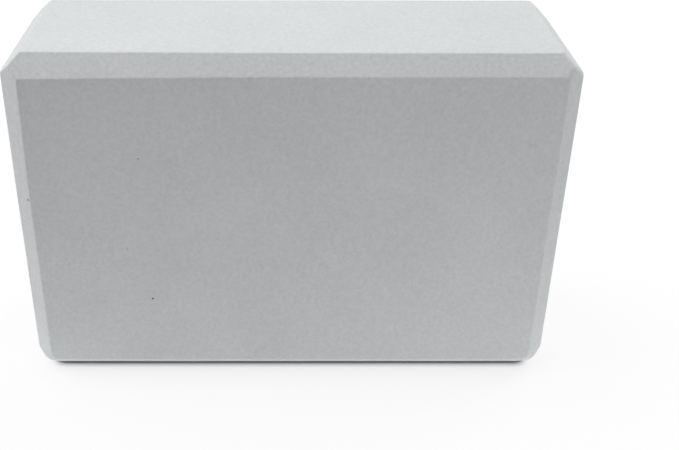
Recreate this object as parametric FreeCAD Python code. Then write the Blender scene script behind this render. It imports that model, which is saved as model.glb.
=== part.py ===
import FreeCAD, Part
import os

# A yoga block: one solid piece of closed-cell foam, sawn to a brick and then bevelled along all twelve
# edges. It stands on a long narrow side, as a block does when it stands at its middle height.
# Millimetres, +Z up. The origin is on the ground, under the middle of the block. The length runs along X
# and the broad faces look along -Y (front) and +Y (back).

# Driving dimensions
block_length = 228.6  # end face to end face, along X
block_height = 152.4  # ground to upper narrow side, along Z
block_thickness = 76.2  # broad face to broad face, along Y
bevel_leg = 7.3  # how far the bevels round the broad faces cut into the two faces beside them
end_bevel_leg = 8.5  # the same for the four short edges, from broad face to broad face
corner_radius = 3.5  # round left by rubbing down the corners, along each line where two bevels meet
edge_radius = 1.0  # soft round between a face and the bevels beside it

os.makedirs("parts", exist_ok=True)


def bevelled_bar(width, depth, length, leg):
    """A bar along Z, centred on the origin, with the four long edges of its rectangular section bevelled."""
    right = width / 2
    back = depth / 2
    corners = [
        (right, back - leg),
        (right - leg, back),
        (leg - right, back),
        (-right, back - leg),
        (-right, leg - back),
        (leg - right, -back),
        (right - leg, -back),
        (right, leg - back),
    ]
    points = [FreeCAD.Vector(x, y, -length / 2) for x, y in corners]
    section = Part.Face(Part.makePolygon(points + points[:1]))
    return section.extrude(FreeCAD.Vector(0, 0, length))


def turned(bar, steps):
    """The bar turned about the diagonal of the axes: each step takes X to Y, Y to Z and Z to X."""
    degrees_per_step = 120
    diagonal = FreeCAD.Vector(1, 1, 1)
    copy = bar.copy()
    copy.rotate(FreeCAD.Vector(0, 0, 0), diagonal, degrees_per_step * steps)
    return copy


def along_an_axis(vector):
    """True for a vector that is parallel to X, Y or Z."""
    longest = max(abs(vector.x), abs(vector.y), abs(vector.z))
    return longest > 0.999 * vector.Length


def mitres(solid):
    """The edges where two bevels meet: the only straight edges that are not parallel to an axis."""
    return [edge for edge in solid.Edges if not along_an_axis(edge.tangentAt(edge.FirstParameter))]


def face_rims(solid):
    """The edges round the six faces of the brick: the only flat faces square to an axis."""
    rims = []
    for face in solid.Faces:
        flat = isinstance(face.Surface, Part.Plane)
        if flat and along_an_axis(face.normalAt(0, 0)):
            rims.extend(face.Edges)
    return rims


def foam_block():
    """The bevelled brick. Three bars cross, one along each axis, and the block is what they share.

    Each bar bevels the four edges that run along it. Where three bevels meet at a corner they are mitred,
    and the corner is rubbed round.
    """
    upright = bevelled_bar(block_length, block_thickness, block_height, bevel_leg)
    lengthwise = turned(bevelled_bar(block_thickness, block_height, block_length, bevel_leg), 1)
    crosswise = turned(bevelled_bar(block_height, block_length, block_thickness, end_bevel_leg), 2)
    sharp = upright.common(lengthwise).common(crosswise).Solids[0]
    rubbed = sharp.makeFillet(corner_radius, mitres(sharp))
    soft = rubbed.makeFillet(edge_radius, face_rims(rubbed))
    soft.translate(FreeCAD.Vector(0, 0, block_height / 2))
    return soft


nodes = {"foam_block": foam_block()}

for name, shape in nodes.items():
    box = shape.optimalBoundingBox()
    print(
        f"{name}: solids {len(shape.Solids)}, faces {len(shape.Faces)}, valid {shape.isValid()},"
        f" volume {shape.Volume / 1000:.1f} cm3,"
        f" box {box.XLength:.2f} x {box.YLength:.2f} x {box.ZLength:.2f} mm"
    )
    shape.exportStep(f"parts/{name}.step")
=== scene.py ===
# %% [markdown]
# # A foam yoga block
#
# The block is one piece of closed-cell foam: a brick that was sawn from a thick sheet and then bevelled
# along all twelve edges. Nothing moves and nothing is joined to it, so the lesson is about three things:
# a shape that follows a short rule, a matte finish that is not just one grey, and even studio light.
#
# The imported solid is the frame. It says where the block stands and how large it is, in metres, and every
# size below is either read from it or written once with a name.

# %% Load the frame
import bpy
import math
from mathutils import Matrix, Vector


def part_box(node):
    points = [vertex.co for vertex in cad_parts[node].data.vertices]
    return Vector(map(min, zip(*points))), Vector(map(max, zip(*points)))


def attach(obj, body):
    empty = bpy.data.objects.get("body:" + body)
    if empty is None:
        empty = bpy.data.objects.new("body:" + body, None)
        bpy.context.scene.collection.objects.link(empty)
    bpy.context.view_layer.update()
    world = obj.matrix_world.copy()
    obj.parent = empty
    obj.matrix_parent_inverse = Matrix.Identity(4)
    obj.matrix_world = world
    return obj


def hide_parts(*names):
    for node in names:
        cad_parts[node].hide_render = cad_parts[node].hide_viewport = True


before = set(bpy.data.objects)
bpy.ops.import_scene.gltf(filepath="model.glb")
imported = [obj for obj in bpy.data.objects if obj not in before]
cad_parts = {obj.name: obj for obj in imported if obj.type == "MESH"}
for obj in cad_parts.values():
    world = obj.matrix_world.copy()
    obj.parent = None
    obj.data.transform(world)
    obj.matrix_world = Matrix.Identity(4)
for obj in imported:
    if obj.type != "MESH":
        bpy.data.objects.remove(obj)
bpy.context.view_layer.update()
block_low, block_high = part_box("foam_block")
block_size = Vector(block_high) - Vector(block_low)
print("block size in mm:", [round(side * 1000, 1) for side in block_size])

# %% [markdown]
# ## Sizes of the bevels
#
# A cutter runs along each edge at 45 degrees and takes off the same leg from both faces. It is led by
# hand, so the cuts differ a little. Of the short edges, which run from broad face to broad face, the
# upper two are cut deeper than the lower two. Foam cannot hold a knife edge, so every line where a face
# meets a bevel is a little round. The corners, where bevels meet, are rubbed rounder, most of all at the
# foot.

# %% Bevel sizes
MM = 0.001
bevel_leg = 7.3 * MM
upper_end_leg = 8.5 * MM
lower_end_leg = 6.2 * MM
upper_corner_radius = 3.5 * MM
lower_corner_radius = 6.5 * MM
edge_softness = 1.0 * MM
print("bevels are", [round(leg * math.sqrt(2) / MM, 1) for leg in (bevel_leg, upper_end_leg)], "mm wide")

# %% [markdown]
# ## Small helpers for building node trees
#
# A node tree that is written in a script reads best when each node is one line. These helpers add a node,
# fill its sockets by name or by position, and give back the output that the next line needs. A socket
# takes either a plain value or a link from another node.

# %% Node helpers
def fill(tree, node, values):
    """Sets or links the sockets of a node. Keys are socket names or positions."""
    for key, value in values.items():
        socket = node.inputs[key]
        if isinstance(value, bpy.types.NodeSocket):
            tree.links.new(value, socket)
        elif socket.type == "VECTOR" and isinstance(value, (int, float)):
            socket.default_value = (value, value, value)
        else:
            socket.default_value = value
    return node


def add(tree, kind, values=None, **settings):
    """Adds one node, with its settings and its sockets."""
    node = tree.nodes.new(kind)
    for name, value in settings.items():
        setattr(node, name, value)
    return fill(tree, node, values or {})


def number(tree, operation, *values):
    """One Math node on its values, in order."""
    return add(tree, "ShaderNodeMath", dict(enumerate(values)), operation=operation).outputs[0]


print("helpers for node trees:", ", ".join(helper.__name__ for helper in (fill, add, number)))

# %% [markdown]
# ## The finish: matte grey foam
#
# Closed-cell foam is a froth of tiny bubbles. Sawing opens the outermost ones, so the surface is a fine
# field of cups about half a millimetre across. It scatters light evenly and has almost no shine. Up close
# it has a grain, and from a step away only a faint cloudiness is left.
#
# One image of such a grain would repeat, and would need a map of the surface. Noise in the object's own
# coordinates has neither fault: it is the same size on every face and runs on across the bevels. Three
# layers do the work: clouds a few centimetres wide, a grain a millimetre or two wide, and the cells. The
# cells and the grain also drive the bump. On the bevels the cutter tears a little more than the saw does,
# so the brick carries an attribute there, and both the grain and the bump are stronger where it says so.

# %% Foam sizes and tones
cloud_size = 45 * MM
grain_size = 1.5 * MM
cell_size = 0.55 * MM
cell_depth = 0.07 * MM
cloud_share = 0.40
cell_share = 0.22
grain_share = 0.70
more_grain_on_bevels = 0.20
palest_shade = 0.62
foam_dark = (0.473, 0.485, 0.490, 1)
foam_light = (0.577, 0.591, 0.597, 1)
smoothest = 0.78
roughest = 0.92
bump_on_faces = 0.45
more_bump_on_bevels = 0.15
gloss = 0.03
print("foam cells are", cell_size / MM, "mm wide and", cell_depth / MM, "mm deep")


# %% Foam finish
def foam_finish():
    """Matte grey closed-cell foam: clouds, grain and open cells in object coordinates."""
    material = bpy.data.materials.new("grey_closed_cell_foam")
    material.use_nodes = True
    tree = material.node_tree
    shader = tree.nodes["Principled BSDF"]
    place = add(tree, "ShaderNodeTexCoord").outputs["Object"]
    milled = add(tree, "ShaderNodeAttribute", attribute_name="milled").outputs["Fac"]

    clouds = add(tree, "ShaderNodeTexNoise", {"Vector": place, "Scale": 1 / cloud_size, "Detail": 3.0})
    grain = add(tree, "ShaderNodeTexNoise", {"Vector": place, "Scale": 1 / grain_size, "Detail": 2.0})
    cells = add(tree, "ShaderNodeTexVoronoi", {"Vector": place, "Scale": 1 / cell_size})

    cell_shade = number(tree, "MULTIPLY", cells.outputs["Color"], cell_share)
    cloud_shade = number(tree, "MULTIPLY", clouds.outputs["Fac"], cloud_share)
    grain_strength = number(tree, "MULTIPLY_ADD", milled, more_grain_on_bevels, grain_share)
    grain_above_mean = number(tree, "SUBTRACT", grain.outputs["Fac"], 0.5)
    grain_shade = number(tree, "MULTIPLY", grain_above_mean, grain_strength)
    lower_layers = number(tree, "ADD", cloud_shade, grain_shade)
    shade = number(tree, "ADD", lower_layers, cell_shade)
    tone = add(tree, "ShaderNodeMapRange", {"Value": shade, "From Min": 0.0, "From Max": palest_shade})
    colour = add(tree, "ShaderNodeMix", {6: foam_dark, 7: foam_light, 0: tone.outputs[0]}, data_type="RGBA")
    tree.links.new(colour.outputs[2], shader.inputs["Base Color"])

    rough_values = {"Value": grain.outputs["Fac"], "To Min": smoothest, "To Max": roughest}
    rough = add(tree, "ShaderNodeMapRange", rough_values)
    tree.links.new(rough.outputs[0], shader.inputs["Roughness"])

    relief = number(tree, "ADD", cells.outputs["Distance"], grain.outputs["Fac"])
    bump_strength = number(tree, "MULTIPLY_ADD", milled, more_bump_on_bevels, bump_on_faces)
    bump = add(tree, "ShaderNodeBump", {"Strength": bump_strength, "Distance": cell_depth, "Height": relief})
    tree.links.new(bump.outputs["Normal"], shader.inputs["Normal"])
    shader.inputs["Specular IOR Level"].default_value = gloss
    return material


foam = foam_finish()
print("made finish", foam.name, "with", len(foam.node_tree.nodes), "nodes")

# %% [markdown]
# ## The bevelled brick as a rule
#
# A cube with a Bevel modifier would do for a plain box, but its corners end in small triangles, and it
# rounds every edge alike. Geometry Nodes can follow the way the block is made, in four steps:
#
# 1. Four plain boxes, wrapped in a convex hull, make the bevels. Three of them are cut back on two axes
#    each, so that each one reaches one pair of faces. The corners of the fourth are the points where three
#    bevels meet.
# 2. A ball on every point of that hull, wrapped in a hull again, rubs the corners round. What is left is
#    then cut to a box, which gives the six faces, and to leaning boxes where the cutter strayed.
# 3. A fine grid is laid over the box that the block would fill. Its lines crowd together near the bevels,
#    where the shape turns.
# 4. Each grid point looks up the nearest point of the cut shape and is set one softness away from it.
#    That is how a small ball rolled round the shape would trace it: flat over the faces and the bevels,
#    and round over the edges between them.

# %% Brick tree: inputs
def new_tree(name, inputs):
    """An empty geometry tree with named inputs. Returns the tree and the socket identifiers by name."""
    tree = bpy.data.node_groups.new(name, "GeometryNodeTree")
    tree.is_modifier = True
    tree.interface.new_socket("Geometry", in_out="INPUT", socket_type="NodeSocketGeometry")
    tree.interface.new_socket("Geometry", in_out="OUTPUT", socket_type="NodeSocketGeometry")
    identifiers = {}
    for title, kind in inputs.items():
        socket = tree.interface.new_socket(title, in_out="INPUT", socket_type=f"NodeSocket{kind}")
        identifiers[title] = socket.identifier
    return tree, identifiers


brick_inputs = {
    "Size": "Vector",
    "Upper bevel legs": "Vector",
    "Lower bevel legs": "Vector",
    "Upper corner radius": "Float",
    "Lower corner radius": "Float",
    "Edge softness": "Float",
    "Border width": "Float",
    "Border step": "Float",
    "Face step": "Float",
    "Wave height": "Float",
    "Wave length": "Float",
    "Pores per area": "Float",
    "Smallest pore": "Float",
    "Largest pore": "Float",
    "Seed": "Int",
    "Finish": "Material",
}
brick_tree, brick_sockets = new_tree("Bevelled foam brick", brick_inputs)
given = brick_tree.nodes.new("NodeGroupInput").outputs
size = given["Size"]
softness = given["Edge softness"]
print("brick tree takes", ", ".join(brick_inputs))

# %% [markdown]
# ### Step 1: four boxes and a hull
#
# The bevels are first made one corner radius too deep, because the balls of the next step and the soft
# skin of the last one add that much again. An input holds three legs: those of the edges that run along X,
# along Y and along Z. The box that reaches the end faces is cut back along Y by the leg of the upright
# edges and along Z by the leg of the edges that run along Y, and so on round the axes. The point where
# three bevels meet lies in from the faces by half of what those three cuts add up to, less half of the
# legs.

# %% Vector helpers
def vector(tree, operation, *values):
    """One Vector Math node on its values, in order."""
    return add(tree, "ShaderNodeVectorMath", dict(enumerate(values)), operation=operation).outputs[0]


def scaled(tree, value, factor):
    """A vector times a number."""
    return add(tree, "ShaderNodeVectorMath", {0: value, "Scale": factor}, operation="SCALE").outputs[0]


def turned(tree, value, order):
    """A vector with its parts in another order. 0 stands for a part that is left at zero."""
    parts = add(tree, "ShaderNodeSeparateXYZ", {0: value}).outputs
    chosen = {place: parts[axis] for place, axis in enumerate(order) if axis != "0"}
    return add(tree, "ShaderNodeCombineXYZ", chosen).outputs[0]


print("helpers for vectors:", ", ".join(helper.__name__ for helper in (vector, scaled, turned)))

# %% Brick tree: bevels
leg_per_depth = math.sqrt(2)


def box_hull(tree, trims):
    """The hull of boxes that are the block's size, less a trim on every side."""
    boxes = add(tree, "GeometryNodeJoinGeometry")
    for trim in trims:
        box_size = vector(tree, "SUBTRACT", size, scaled(tree, trim, 2.0))
        box = add(tree, "GeometryNodeMeshCube", {"Size": box_size})
        tree.links.new(box.outputs["Mesh"], boxes.inputs[0])
    return add(tree, "GeometryNodeConvexHull", {0: boxes.outputs[0]}).outputs[0]


def deep_bevels(tree, legs, radius):
    """Twelve bevels, one corner radius too deep."""
    legs = vector(tree, "ADD", legs, number(tree, "MULTIPLY", radius, leg_per_depth))
    to_ends = turned(tree, legs, "0ZY")
    to_broad_faces = turned(tree, legs, "Z0X")
    to_narrow_sides = turned(tree, legs, "YX0")
    cuts = vector(tree, "ADD", to_ends, vector(tree, "ADD", to_broad_faces, to_narrow_sides))
    meeting = scaled(tree, vector(tree, "SUBTRACT", cuts, legs), 0.5)
    return box_hull(tree, [to_ends, to_broad_faces, to_narrow_sides, meeting])


print("a bevel with a leg of 1 mm is", round(1 / leg_per_depth, 2), "mm deep")

# %% [markdown]
# ### Step 2: round corners and flat faces
#
# The upper and the lower half each get bevels and balls of their own, and one hull is wrapped round them
# all. Both halves share the legs of the upright edges, so those bevels run through from foot to top. The
# last step adds one softness all round, so the balls are that much smaller than the corner radius.

# %% Brick tree: round corners
corner_ball_rounds = 4


def corner_balls(tree, half, side):
    """Balls on the corner points of the bevels, for the half on one side of the middle."""
    radius = given[f"{half} corner radius"]
    bevels = deep_bevels(tree, given[f"{half} bevel legs"], radius)
    place = add(tree, "GeometryNodeInputPosition").outputs[0]
    height = add(tree, "ShaderNodeSeparateXYZ", {0: place}).outputs["Z"]
    in_half = add(tree, "FunctionNodeCompare", {0: height, 1: 0.0}, operation=side)
    ball_size = {"Radius": number(tree, "SUBTRACT", radius, softness), "Subdivisions": corner_ball_rounds}
    ball = add(tree, "GeometryNodeMeshIcoSphere", ball_size)
    spots = {"Points": bevels, "Selection": in_half.outputs[0], "Instance": ball.outputs["Mesh"]}
    balls = add(tree, "GeometryNodeInstanceOnPoints", spots)
    return add(tree, "GeometryNodeRealizeInstances", {0: balls.outputs[0]}).outputs[0]


def round_cornered(tree):
    """The hull of the balls of both halves."""
    balls = add(tree, "GeometryNodeJoinGeometry")
    for half, side in (("Upper", "GREATER_THAN"), ("Lower", "LESS_THAN")):
        tree.links.new(corner_balls(tree, half, side), balls.inputs[0])
    return add(tree, "GeometryNodeConvexHull", {0: balls.outputs[0]}).outputs[0]


corners = round_cornered(brick_tree)
print("corner balls have", corner_ball_rounds, "rounds of subdivision")

# %% [markdown]
# The box that gives the six faces is one softness smaller than the block, too. Towards the upper left
# corner of the front the cutter strayed inwards along both edges, by a millimetre in the end. For each of
# these, one side of a large box lies against the bevel and leans inwards from where the stray starts to
# where it stops. Both are measured from the middle of the block.

# %% Brick tree: cut shape
stray_box_side = 0.6
strays = [
    {"edge": (-1, -1, 0), "along": (0, 0, 1), "start": 18 * MM, "stop": 69 * MM, "leg": 1.0 * MM},
    {"edge": (0, -1, 1), "along": (-1, 0, 0), "start": 15 * MM, "stop": 107 * MM, "leg": 0.95 * MM},
]


def stray_box(tree, edge, along, start, stop, leg):
    """A large box with one side on the bevel of an edge, leaning inwards along it from the start."""
    outward = Vector(edge).normalized()
    onward = Vector(along)
    edge_reach = sum(abs(part) * side / 2 for part, side in zip(edge, block_size))
    bevel_distance = (edge_reach - bevel_leg) / leg_per_depth - edge_softness
    lean = math.atan(leg / leg_per_depth / (stop - start))
    facing = outward * math.cos(lean) + onward * math.sin(lean)
    middle = outward * bevel_distance + onward * start - facing * stray_box_side / 2
    turn = facing.to_track_quat("X", "Z").to_euler()
    box = add(tree, "GeometryNodeMeshCube", {"Size": stray_box_side}).outputs["Mesh"]
    moved = {"Geometry": box, "Translation": middle, "Rotation": turn}
    return add(tree, "GeometryNodeTransform", moved).outputs[0]


def cut_shape(tree, corners):
    """The round-cornered bevels, cut to flat faces and strays, one softness smaller than the block."""
    face_size = vector(tree, "SUBTRACT", size, number(tree, "MULTIPLY", softness, 2.0))
    faces = add(tree, "GeometryNodeMeshCube", {"Size": face_size}).outputs["Mesh"]
    common = add(tree, "GeometryNodeMeshBoolean", operation="INTERSECT", solver="MANIFOLD")
    for shape in [corners, faces] + [stray_box(tree, **stray) for stray in strays]:
        tree.links.new(shape, common.inputs[1])
    return common.outputs["Mesh"]


core_brick = cut_shape(brick_tree, corners)
print("the brick is cut to a box and to", len(strays), "leaning boxes")

# %% [markdown]
# ### Step 3: a grid whose lines crowd near the bevels
#
# The Mesh Cube node spaces its lines evenly, so the cube is made two units wide and its lines are then
# moved. Along each axis, counted from the middle, a line belongs either to the open face or to the border
# with its bevel. Two clamped ramps, added up, say how far out it goes. All three axes are worked out at
# once, as one vector.

# %% Brick tree: grid
border_width = 13 * MM
border_step = 0.45 * MM
face_step = 4 * MM


def ramp(tree, value, start, stop, top):
    """Rises from 0 to top while the value goes from start to stop, on each axis by itself."""
    node = add(tree, "ShaderNodeMapRange", data_type="FLOAT_VECTOR", clamp=True)
    fill(tree, node, {6: value, 7: start, 8: stop, 9: 0.0, 10: top})
    return node.outputs["Vector"]


def crowded_grid(tree):
    """A closed grid over the block's box, coarse on the open faces and fine along the borders."""
    border = given["Border width"]
    face_reach = vector(tree, "SUBTRACT", scaled(tree, size, 0.5), border)
    face_lines = vector(tree, "CEIL", vector(tree, "DIVIDE", face_reach, given["Face step"]))
    border_lines = number(tree, "CEIL", number(tree, "DIVIDE", border, given["Border step"]))
    all_lines = vector(tree, "ADD", face_lines, border_lines)
    counts = add(tree, "ShaderNodeSeparateXYZ", {0: vector(tree, "MULTIPLY_ADD", all_lines, 2, 1)})
    cube_values = {"Size": 2.0}
    for axis in "XYZ":
        cube_values[f"Vertices {axis}"] = counts.outputs[axis]
    cube = add(tree, "GeometryNodeMeshCube", cube_values)

    even = add(tree, "GeometryNodeInputPosition").outputs[0]
    reach = vector(tree, "ABSOLUTE", even)
    border_start = vector(tree, "DIVIDE", face_lines, all_lines)
    on_face = ramp(tree, reach, 0.0, border_start, face_reach)
    on_border = ramp(tree, reach, border_start, 1.0, border)
    outward = vector(tree, "ADD", on_face, on_border)
    place = vector(tree, "MULTIPLY", outward, vector(tree, "SIGN", even))
    grid = add(tree, "GeometryNodeSetPosition", {"Geometry": cube.outputs["Mesh"], "Position": place})
    return grid.outputs[0]


grid = crowded_grid(brick_tree)
print("grid lines are", face_step / MM, "mm apart on the faces and", border_step / MM, "mm on the borders")

# %% [markdown]
# ### Step 4: one softness away from the cut shape
#
# Geometry Proximity gives the nearest point of the cut shape. The direction from there to the grid point
# is also the direction in which the finished surface faces: along an axis on a face, and between two axes
# on a bevel. The largest part of that direction tells faces from bevels, and is kept as the attribute
# that the finish reads. The faces are flat to the hand but not perfectly so: the sheet relaxes after
# sawing, which leaves long shallow waves of a tenth of a millimetre. They go inwards, so that the block
# never outgrows its size. Then the block is lifted to stand on the ground.

# %% Brick tree: soft skin
wave_height = 0.12 * MM
wave_length = 38 * MM
face_part = 0.98
bevel_part = 0.74


def soft_skin(tree, grid, brick):
    """The grid drawn onto the soft-edged brick, with its bevels marked and its faces waved."""
    here = add(tree, "GeometryNodeInputPosition").outputs[0]
    nearest = add(tree, "GeometryNodeProximity", {"Target": brick}, target_element="FACES")
    outward = vector(tree, "NORMALIZE", vector(tree, "SUBTRACT", here, nearest.outputs["Position"]))
    parts = add(tree, "ShaderNodeSeparateXYZ", {0: vector(tree, "ABSOLUTE", outward)}).outputs
    largest = number(tree, "MAXIMUM", parts["X"], number(tree, "MAXIMUM", parts["Y"], parts["Z"]))
    on_bevel = add(
        tree,
        "ShaderNodeMapRange",
        {"Value": largest, "From Min": face_part, "From Max": bevel_part},
    )
    marked = add(
        tree,
        "GeometryNodeStoreNamedAttribute",
        {"Geometry": grid, "Name": "milled", "Value": on_bevel.outputs[0]},
    )
    place = vector(tree, "ADD", nearest.outputs["Position"], scaled(tree, outward, softness))
    skin = add(tree, "GeometryNodeSetPosition", {"Geometry": marked.outputs[0], "Position": place})

    wave = add(tree, "ShaderNodeTexNoise", {"Scale": number(tree, "DIVIDE", 1.0, given["Wave length"])})
    depth = number(tree, "MULTIPLY", wave.outputs["Fac"], given["Wave height"])
    normal = add(tree, "GeometryNodeInputNormal").outputs[0]
    inwards = scaled(tree, normal, number(tree, "MULTIPLY", depth, -1.0))
    lift = vector(tree, "MULTIPLY", scaled(tree, size, 0.5), (0, 0, 1))
    waved = add(
        tree,
        "GeometryNodeSetPosition",
        {"Geometry": skin.outputs[0], "Offset": vector(tree, "ADD", inwards, lift)},
    )
    return waved.outputs[0]


skin = soft_skin(brick_tree, grid, core_brick)
print("skin follows the brick at", edge_softness / MM, "mm")

# %% [markdown]
# ### Pores
#
# Here and there a gas bubble was cut open and left a small round hole. A dark dot in the finish would
# look painted on from the side, so the holes are real. Points are scattered over the skin from a fixed
# seed, each one gets a little ball of its own size, and the balls are cut out of the block. The few pores
# that stand out most on the real block are not left to chance: they are the loose points of the mesh that
# the modifier sits on, and carry their own radius.

# %% Brick tree: pores and finish
pores_per_square_metre = 600
smallest_pore = 0.10 * MM
largest_pore = 0.34 * MM
scatter_seed = 7
pore_ball_rounds = 2
sharp_rim = math.radians(40)


def pored(tree, skin):
    """The skin with small round holes cut into it."""
    chance = add(
        tree,
        "GeometryNodeDistributePointsOnFaces",
        {"Mesh": skin, "Density": given["Pores per area"], "Seed": given["Seed"]},
    )
    sizes = add(tree, "FunctionNodeRandomValue", data_type="FLOAT")
    fill(tree, sizes, {2: given["Smallest pore"], 3: given["Largest pore"], "Seed": given["Seed"]})
    sized = {"Geometry": chance.outputs["Points"], "Name": "pore_radius", "Value": sizes.outputs[1]}
    by_chance = add(tree, "GeometryNodeStoreNamedAttribute", sized)
    chosen = add(tree, "GeometryNodeMeshToPoints", {"Mesh": given["Geometry"]})
    spots = add(tree, "GeometryNodeJoinGeometry")
    tree.links.new(by_chance.outputs[0], spots.inputs[0])
    tree.links.new(chosen.outputs["Points"], spots.inputs[0])
    ball = add(tree, "GeometryNodeMeshIcoSphere", {"Radius": 1.0, "Subdivisions": pore_ball_rounds})
    radius = add(tree, "GeometryNodeInputNamedAttribute", {"Name": "pore_radius"}).outputs["Attribute"]
    balls = add(
        tree,
        "GeometryNodeInstanceOnPoints",
        {"Points": spots.outputs[0], "Instance": ball.outputs["Mesh"], "Scale": radius},
    )
    cut = add(tree, "GeometryNodeMeshBoolean", operation="DIFFERENCE", solver="MANIFOLD")
    return fill(tree, cut, {0: skin, 1: balls.outputs[0]}).outputs["Mesh"]


def shaded(tree, mesh):
    """Smooth shading, with the rims of the pores kept sharp."""
    angle = add(tree, "GeometryNodeInputMeshEdgeAngle").outputs[0]
    rim = add(tree, "FunctionNodeCompare", {0: angle, 1: sharp_rim}, operation="GREATER_THAN")
    smooth = add(tree, "GeometryNodeSetShadeSmooth", {"Geometry": mesh, "Shade Smooth": True})
    rims = {"Geometry": smooth.outputs[0], "Selection": rim.outputs[0], "Shade Smooth": False}
    return add(tree, "GeometryNodeSetShadeSmooth", rims, domain="EDGE").outputs[0]


with_pores = shaded(brick_tree, pored(brick_tree, skin))
real = add(brick_tree, "GeometryNodeRealizeInstances", {"Geometry": with_pores})
finished = add(brick_tree, "GeometryNodeSetMaterial", {0: real.outputs[0], "Material": given["Finish"]})
brick_tree.links.new(finished.outputs[0], brick_tree.nodes.new("NodeGroupOutput").inputs[0])
print("brick tree has", len(brick_tree.nodes), "nodes")

# %% [markdown]
# ## From the tree to a plain mesh
#
# The modifier sits on a mesh that holds only the chosen pores. Its inputs are set by their identifiers,
# then the evaluated object is copied to a plain mesh and the modifier is thrown away, so what is left is
# an ordinary piece at the origin. The cuts leave an empty material slot behind, so the slots are made new,
# with the one finish.

# %% Make the block
pore_inset = 0.40 * MM
bevel_inset = 1.1 * MM
front = block_low[1] + pore_inset
left_bevel = front + bevel_inset
chosen_pores = [
    {"place": (-59.7 * MM, front, 41.0 * MM), "radius": 0.60 * MM},
    {"place": (-61.4 * MM, front, 109.7 * MM), "radius": 0.45 * MM},
    {"place": (-68.9 * MM, front, 66.5 * MM), "radius": 0.46 * MM},
    {"place": (-94.0 * MM, front, 59.1 * MM), "radius": 0.43 * MM},
    {"place": (-107.8 * MM, left_bevel, 90.0 * MM), "radius": 0.75 * MM},
]


def plain_mesh(name, tree, sockets, values, pores):
    """Runs a tree on a mesh of loose pores and keeps the result as a plain mesh object."""
    start = bpy.data.meshes.new(f"{name}_pores")
    start.from_pydata([pore["place"] for pore in pores], [], [])
    radii = start.attributes.new("pore_radius", "FLOAT", "POINT")
    radii.data.foreach_set("value", [pore["radius"] for pore in pores])
    maker = bpy.data.objects.new(f"{name}_maker", start)
    bpy.context.collection.objects.link(maker)
    modifier = maker.modifiers.new("Rule", "NODES")
    modifier.node_group = tree
    for title, value in values.items():
        modifier[sockets[title]] = value
    evaluated = maker.evaluated_get(bpy.context.evaluated_depsgraph_get())
    mesh = bpy.data.meshes.new_from_object(evaluated)
    bpy.data.objects.remove(maker)
    mesh.materials.clear()
    mesh.materials.append(values["Finish"])
    mesh.name = name
    piece = bpy.data.objects.new(name, mesh)
    bpy.context.collection.objects.link(piece)
    return piece


brick_values = {
    "Size": tuple(block_size),
    "Upper bevel legs": (bevel_leg, upper_end_leg, bevel_leg),
    "Lower bevel legs": (bevel_leg, lower_end_leg, bevel_leg),
    "Upper corner radius": upper_corner_radius,
    "Lower corner radius": lower_corner_radius,
    "Edge softness": edge_softness,
    "Border width": border_width,
    "Border step": border_step,
    "Face step": face_step,
    "Wave height": wave_height,
    "Wave length": wave_length,
    "Pores per area": pores_per_square_metre,
    "Smallest pore": smallest_pore,
    "Largest pore": largest_pore,
    "Seed": scatter_seed,
    "Finish": foam,
}
foam_brick = plain_mesh("foam_brick", brick_tree, brick_sockets, brick_values, chosen_pores)
foam_brick.data.calc_loop_triangles()
points = len(foam_brick.data.vertices)
triangles = len(foam_brick.data.loop_triangles)
print("foam_brick:", points, "points,", triangles, "triangles")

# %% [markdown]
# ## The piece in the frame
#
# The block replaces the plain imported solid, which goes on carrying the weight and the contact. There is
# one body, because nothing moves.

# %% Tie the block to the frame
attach(foam_brick, "root")
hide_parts("foam_block")

# %% [markdown]
# ## Floor and background
#
# The block stands on a lit white table in a white surround. The table sends a soft glow upwards, most of
# it close to the block, which is why the broad front gets paler towards the floor. In a picture of this
# kind the white is pushed up until only the shadow close to the block is left. More light would do that
# too, but it would bleach the foam as well. So the sheet does it alone: where the camera looks at it, it
# turns from shaded paper to near white within a few millimetres of the block's foot, and to plain white
# further out. To light rays it stays paper with a glow.
#
# Each of these fades is a short list of steps: a distance from the foot, and the value that is reached
# there.

# %% Fades on the sheet
sheet_radius = 0.45
foot_corner = 5.5 * MM
# Painted shade: the paper is drawn darker under the foot and for about a millimetre past it, where the
# crease is shaded.
painted_crease_shade_steps = [(0.0, 0.30), (1.2 * MM, 0.80)]
glow_steps = [(0.0, 0.0), (1.5 * MM, 0.605), (60 * MM, 0.212)]
white_steps = [(0.9 * MM, 0.0), (3.7 * MM, 0.75), (17 * MM, 0.86), (160 * MM, 1.0)]


def past_the_foot(tree):
    """How far a point of the sheet lies outside the round-cornered patch that the block stands on."""
    half_length = block_size.x / 2 - lower_end_leg
    half_width = block_size.y / 2 - bevel_leg
    inner_patch = (half_length - foot_corner, half_width - foot_corner, sheet_radius)
    place = add(tree, "ShaderNodeTexCoord").outputs["Object"]
    beyond = vector(tree, "SUBTRACT", vector(tree, "ABSOLUTE", place), inner_patch)
    outside = vector(tree, "MAXIMUM", beyond, 0.0)
    distance = add(tree, "ShaderNodeVectorMath", {0: outside}, operation="LENGTH").outputs["Value"]
    return number(tree, "SUBTRACT", distance, foot_corner)


def rise(tree, value, start, stop, height):
    """Goes from 0 to a height, up or down, while a value goes from start to stop."""
    values = {"Value": value, "From Min": start, "From Max": stop, "To Max": height}
    return add(tree, "ShaderNodeMapRange", values).outputs[0]


def stepped(tree, distance, steps):
    """A number that goes from one step to the next as the distance grows."""
    value = steps[0][1]
    for (start, here), (stop, there) in zip(steps, steps[1:]):
        value = number(tree, "ADD", value, rise(tree, distance, start, stop, there - here))
    return value


print("the sheet is plain white from", white_steps[-1][0] / MM, "mm past the foot")

# %% [markdown]
# The sheet lies a little lower than the foot, and painted shade makes its paper greyer under the foot, so
# that a thin dark line is left where the two meet.

# %% White sheet
sheet_gap = 0.45 * MM
sheet_sides = 96


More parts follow.
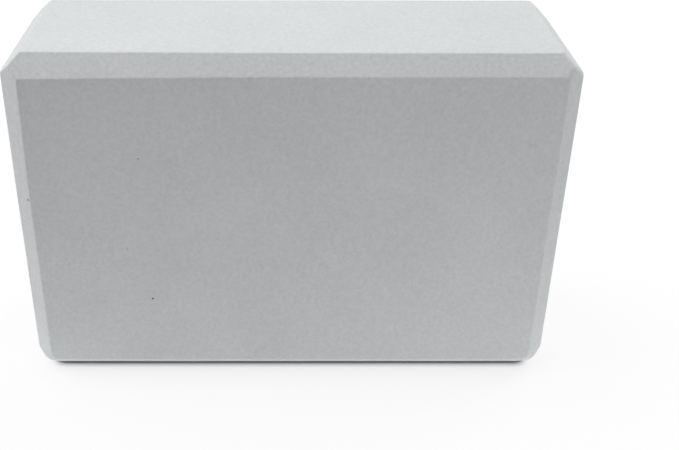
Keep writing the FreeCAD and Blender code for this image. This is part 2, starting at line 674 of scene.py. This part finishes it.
def seen_directly(tree):
    """1 for rays that look at the background, straight or in a reflection, and 0 for rays that light."""
    path = add(tree, "ShaderNodeLightPath").outputs
    mirrored = number(tree, "ADD", path["Is Glossy Ray"], path["Is Transmission Ray"])
    return number(tree, "MINIMUM", number(tree, "ADD", path["Is Camera Ray"], mirrored), 1.0)


def sheet_finish():
    """Lit white paper with painted shade under the foot, whose look to the camera fades to white away from
    the block.
    """
    material = bpy.data.materials.new("white_sheet")
    material.use_nodes = True
    tree = material.node_tree
    tree.nodes.clear()
    distance = past_the_foot(tree)
    # The paper's grey carries the painted crease shade under the foot.
    grey = stepped(tree, distance, painted_crease_shade_steps)
    strength = stepped(tree, distance, glow_steps)
    whiteness = stepped(tree, distance, white_steps)
    paper = add(tree, "ShaderNodeBsdfDiffuse", {"Color": grey}).outputs[0]
    glow = add(tree, "ShaderNodeEmission", {"Color": (1, 1, 1, 1), "Strength": strength}).outputs[0]
    white = add(tree, "ShaderNodeEmission", {"Color": (1, 1, 1, 1), "Strength": 1.0}).outputs[0]
    lit_paper = add(tree, "ShaderNodeAddShader", {0: paper, 1: glow}).outputs[0]
    look = add(tree, "ShaderNodeMixShader", {0: whiteness, 1: paper, 2: white}).outputs[0]
    both = add(tree, "ShaderNodeMixShader", {0: seen_directly(tree), 1: lit_paper, 2: look}).outputs[0]
    add(tree, "ShaderNodeOutputMaterial", {"Surface": both})
    return material


def white_sheet():
    """A round sheet just under the block."""
    rim = []
    for step in range(sheet_sides):
        angle = 2 * math.pi * step / sheet_sides
        rim.append((sheet_radius * math.cos(angle), sheet_radius * math.sin(angle), -sheet_gap))
    mesh = bpy.data.meshes.new("white_sheet")
    mesh.from_pydata(rim, [], [range(sheet_sides)])
    mesh.materials.append(sheet_finish())
    sheet = bpy.data.objects.new("white_sheet", mesh)
    bpy.context.collection.objects.link(sheet)
    return sheet


sheet = white_sheet()
print("sheet is", 2 * sheet_radius, "m across")

# %% [markdown]
# ## Studio light
#
# The block stands as if in a light tent: a glowing white roof that reaches down to the left, a wall on
# the left and one at the right rear, a lamp on the right of the camera, and the lit sheet below.
# That is why the upper side is the palest face, the broad front is darker, and the bevels lie between.
# One small lamp would draw hard shadows, so large area lamps stand in for the walls. The world is white
# to look at and gives no light of its own.

# %% Lamps and world
lamps = {
    "tent_roof": {"place": (0.0, 0.0, 1.00), "aim": (0, 0, 0.10), "width": 0.7, "watts": 3.35},
    "tent_roof_left": {"place": (-0.45, 0.20, 0.95), "aim": (0, 0, 0.10), "width": 0.8, "watts": 3.95},
    "tent_left": {"place": (-0.90, 0.05, 0.45), "aim": (0, 0, 0.08), "width": 0.9, "watts": 8.3},
    "tent_right_rear": {"place": (0.70, 0.55, 0.60), "aim": (0, 0, 0.10), "width": 0.7, "watts": 7.3},
    "front_right": {"place": (0.75, -0.75, 0.45), "aim": (0, 0, 0.08), "width": 0.7, "watts": 5.36},
}


def softbox(name, place, aim, width, watts):
    """A large square lamp that faces the block and stays out of the picture."""
    light = bpy.data.lights.new(name, "AREA")
    light.shape = "SQUARE"
    light.size = width
    light.energy = watts
    lamp = bpy.data.objects.new(name, light)
    lamp.location = place
    lamp.rotation_euler = (Vector(aim) - Vector(place)).to_track_quat("-Z", "Y").to_euler()
    lamp.visible_camera = False
    bpy.context.collection.objects.link(lamp)
    return lamp


def white_world():
    """White to the camera, and dark to the rays that light the block."""
    world = bpy.data.worlds.new("white_surround")
    world.use_nodes = True
    tree = world.node_tree
    tree.nodes.clear()
    white = add(tree, "ShaderNodeBackground", {"Color": (1, 1, 1, 1), "Strength": seen_directly(tree)})
    add(tree, "ShaderNodeOutputWorld", {"Surface": white.outputs[0]})
    bpy.context.scene.world = world


for name, facts in lamps.items():
    softbox(name, **facts)
white_world()
bpy.context.scene.view_settings.view_transform = "Standard"
print("lamps:", ", ".join(lamps))

# %% [markdown]
# ## Camera
#
# The camera looks down at the block from the front, a little to the left of its middle. The picture is a
# crop: the lens axis does not pass through its middle, and the camera's shift says by how much.

# %% Camera
picture_width = 679
picture_height = 450
axis_pixel = (285.0, 162.0)
lens_pixels = 977.0
camera_place = (-4.3 * MM, -382.46 * MM, 294.93 * MM)
look_right = math.radians(0.277)
look_down = math.radians(28.450)
camera_roll = math.radians(0.171)
sensor_width = 36
nearest_seen = 10 * MM


def photo_camera():
    """The camera at the photograph's place, with its lens and crop."""
    data = bpy.data.cameras.new("camera")
    data.sensor_width = sensor_width
    data.lens = sensor_width * lens_pixels / picture_width
    data.shift_x = (picture_width / 2 - axis_pixel[0]) / picture_width
    data.shift_y = (axis_pixel[1] - picture_height / 2) / picture_width
    data.clip_start = nearest_seen
    camera = bpy.data.objects.new("camera", data)
    upright = Matrix.Rotation(-look_right, 3, "Z") @ Matrix.Rotation(math.pi / 2 - look_down, 3, "X")
    camera.rotation_euler = (upright @ Matrix.Rotation(camera_roll, 3, "Z")).to_euler()
    camera.location = camera_place
    bpy.context.collection.objects.link(camera)
    bpy.context.scene.camera = camera
    return camera


camera = photo_camera()
shift = (round(camera.data.shift_x, 3), round(camera.data.shift_y, 3))
print("lens", round(camera.data.lens, 1), "mm, shift", shift)
